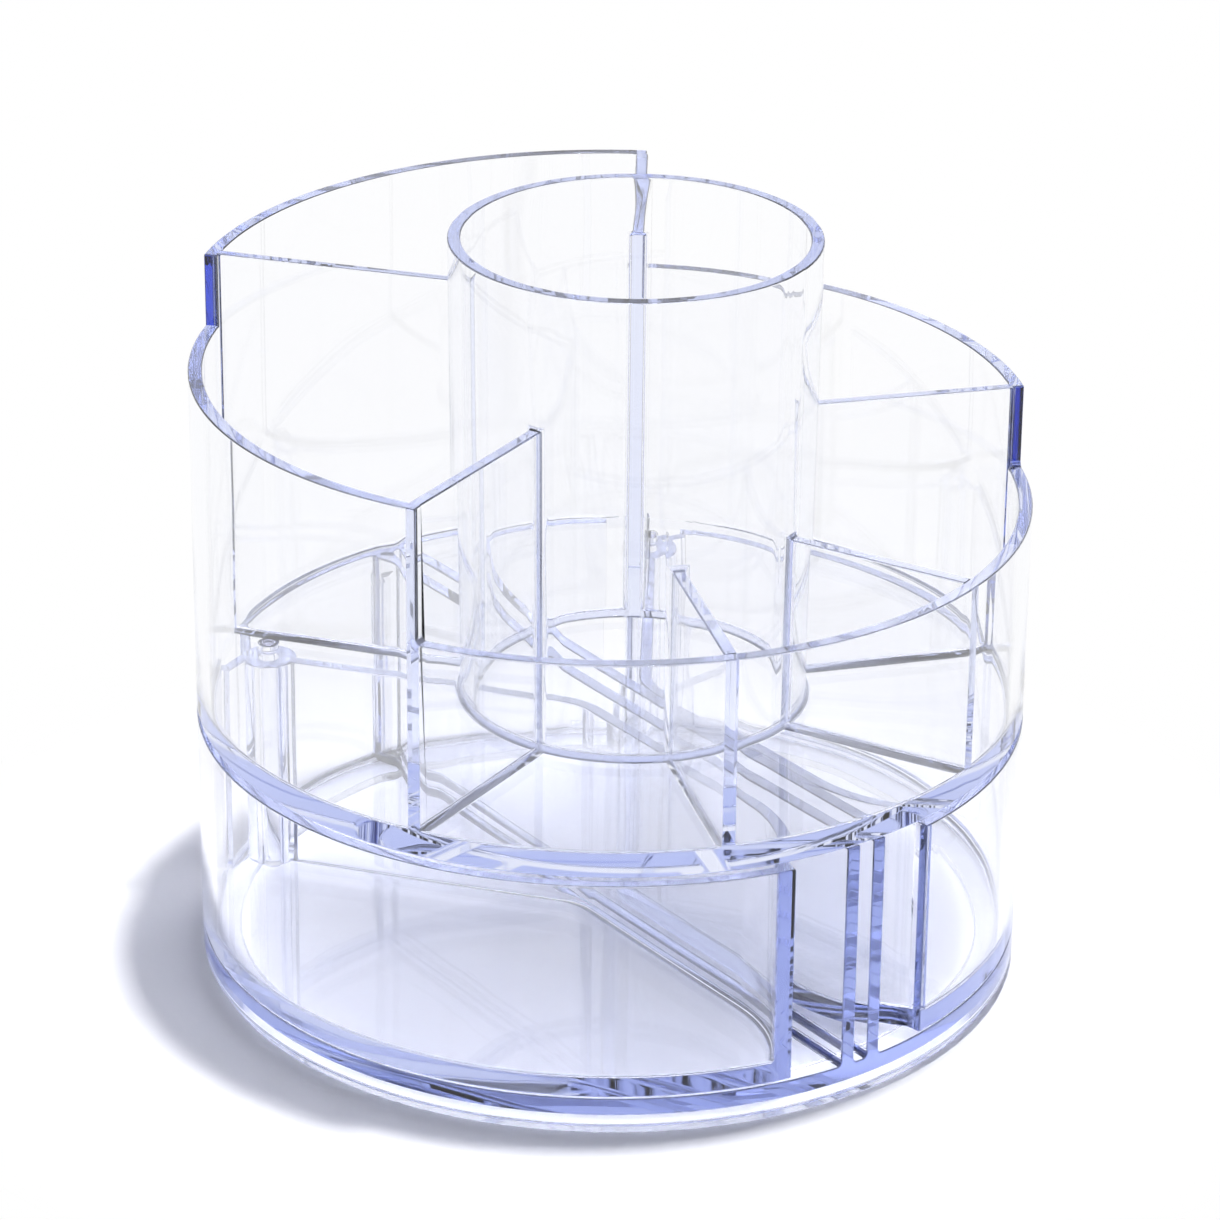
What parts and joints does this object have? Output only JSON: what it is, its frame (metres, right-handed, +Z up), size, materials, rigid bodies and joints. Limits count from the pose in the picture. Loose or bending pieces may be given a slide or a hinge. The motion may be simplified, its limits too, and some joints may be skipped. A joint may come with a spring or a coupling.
{
  "type": "makeup organizer",
  "caption": "Round clear plastic makeup organizer: a tray with a stepped rim, partitions and a tall brush tube, over a lower tier with drawers that swing out on pins.",
  "frame": {"origin": "middle of the foot ring, on the surface the organizer stands on", "axes": "+Z up; the front of the organizer, with its lowest rim, faces -Y; +X is to the right"},
  "size_m": [0.178, 0.178, 0.165],
  "materials": {
    "tray_plastic": "clear, polished",
    "base_plastic": "clear, polished",
    "drawer_plastic": "clear, polished",
    "pin_plastic": "clear, polished"
  },
  "bodies": {
    "organizer": {"base_plate": "base_plastic", "casing_wall": "base_plastic", "divider_rib_left": "base_plastic", "divider_rib_right": "base_plastic", "left_hinge_pin": "pin_plastic", "back_hinge_pin": "pin_plastic", "tray_floor": "tray_plastic", "tray_outer_wall": "tray_plastic", "brush_tube": "tray_plastic", "partition_right": "tray_plastic", "partition_back": "tray_plastic", "partition_left": "tray_plastic", "partition_front_left": "tray_plastic", "partition_front": "tray_plastic", "partition_front_right": "tray_plastic"},
    "front_drawer": {"front_drawer_floor": "drawer_plastic", "front_drawer_outer_wall": "drawer_plastic", "front_drawer_inner_wall": "drawer_plastic", "front_drawer_barrel": "drawer_plastic"},
    "right_drawer": {"right_drawer_floor": "drawer_plastic", "right_drawer_outer_wall": "drawer_plastic", "right_drawer_inner_wall": "drawer_plastic", "right_drawer_barrel": "drawer_plastic"}
  },
  "joints": [
    {"name": "front_drawer_swing", "type": "hinge", "parent": "organizer", "child": "front_drawer", "pos_m": [-0.07524, 0.01381, 0.0347], "axis": [0, 0, -1], "range_deg": [0, 90]},
    {"name": "right_drawer_swing", "type": "hinge", "parent": "organizer", "child": "right_drawer", "pos_m": [0.00959, 0.0759, 0.0347], "axis": [0, 0, 1], "range_deg": [0, 90]}
  ]
}
